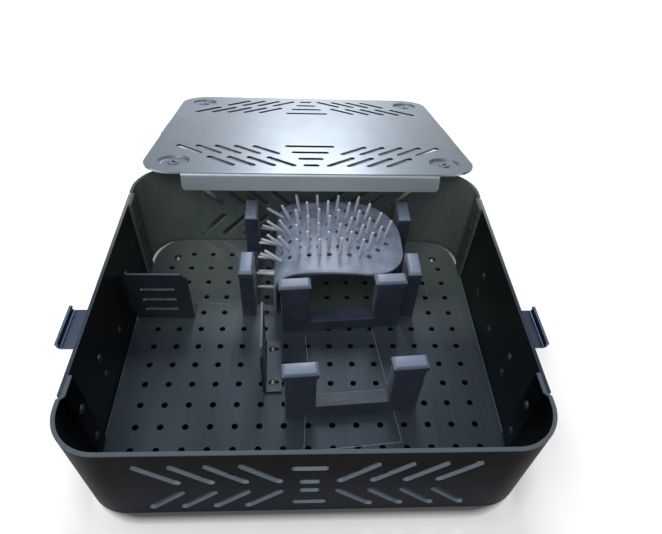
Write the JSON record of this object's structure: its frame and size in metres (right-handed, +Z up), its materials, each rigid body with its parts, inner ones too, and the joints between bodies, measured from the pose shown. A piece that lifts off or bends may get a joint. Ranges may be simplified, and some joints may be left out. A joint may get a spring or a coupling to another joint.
{
  "type": "dental instrument cassette",
  "caption": "Perforated sterilising cassette with slotted walls, hooked-on slotted lid, side latches, soft instrument holders, arched finger mat and slotted dividers.",
  "frame": {"origin": "on the plane the feet stand on, under the middle of the floor's hole grid", "axes": "+Z up, +X to the right of the tray seen from its front, +Y to the rear where the lid hangs"},
  "size_m": [0.3142, 0.4215, 0.0828],
  "materials": {
    "anodised_tray": "dark anodised, satin",
    "anodised_wall": "dark anodised, satin",
    "anodised_lid": "blue-grey anodised, satin",
    "anodised_divider": "dark anodised, satin",
    "bracket_steel": "satin",
    "latch_steel": "polished",
    "rivet_steel": "satin",
    "screw_steel": "bright",
    "silicone": "satin silicone",
    "silicone_mat": "satin silicone",
    "foot_rubber": "matt"
  },
  "bodies": {
    "tray": {"tray_pan": "anodised_tray", "front_wall": "anodised_wall", "rear_wall": "anodised_wall", "wall_rivets": "rivet_steel", "feet": "foot_rubber", "foot_screws": "screw_steel", "bracket_left": "bracket_steel", "bracket_right": "bracket_steel", "bracket_rivets": "rivet_steel", "latch_pins": "screw_steel", "holder_front": "silicone", "holder_middle": "silicone", "holder_left": "silicone", "holder_right": "silicone", "divider_left": "anodised_divider", "divider_middle": "anodised_divider", "divider_screws": "screw_steel", "divider_nuts": "screw_steel"},
    "latch_l": {"latch_left": "latch_steel"},
    "latch_r": {"latch_right": "latch_steel"},
    "lid": {"lid": "anodised_lid"},
    "mat": {"finger_mat": "silicone_mat", "mat_fingers": "silicone_mat"}
  },
  "joints": [
    {"name": "latch_left_hinge", "type": "hinge", "parent": "tray", "child": "latch_l", "pos_m": [-0.131, -0.003, 0.0295], "axis": [0, 1, 0], "range_deg": [0, 90]},
    {"name": "latch_right_hinge", "type": "hinge", "parent": "tray", "child": "latch_r", "pos_m": [0.131, -0.003, 0.0295], "axis": [0, -1, 0], "range_deg": [0, 90]},
    {"name": "lid_lift", "type": "slide", "parent": "tray", "child": "lid", "axis": [0, 0, 1], "range_m": [0, 0.09]},
    {"name": "mat_lift", "type": "slide", "parent": "tray", "child": "mat", "axis": [0, 0, 1], "range_m": [0, 0.004]}
  ]
}
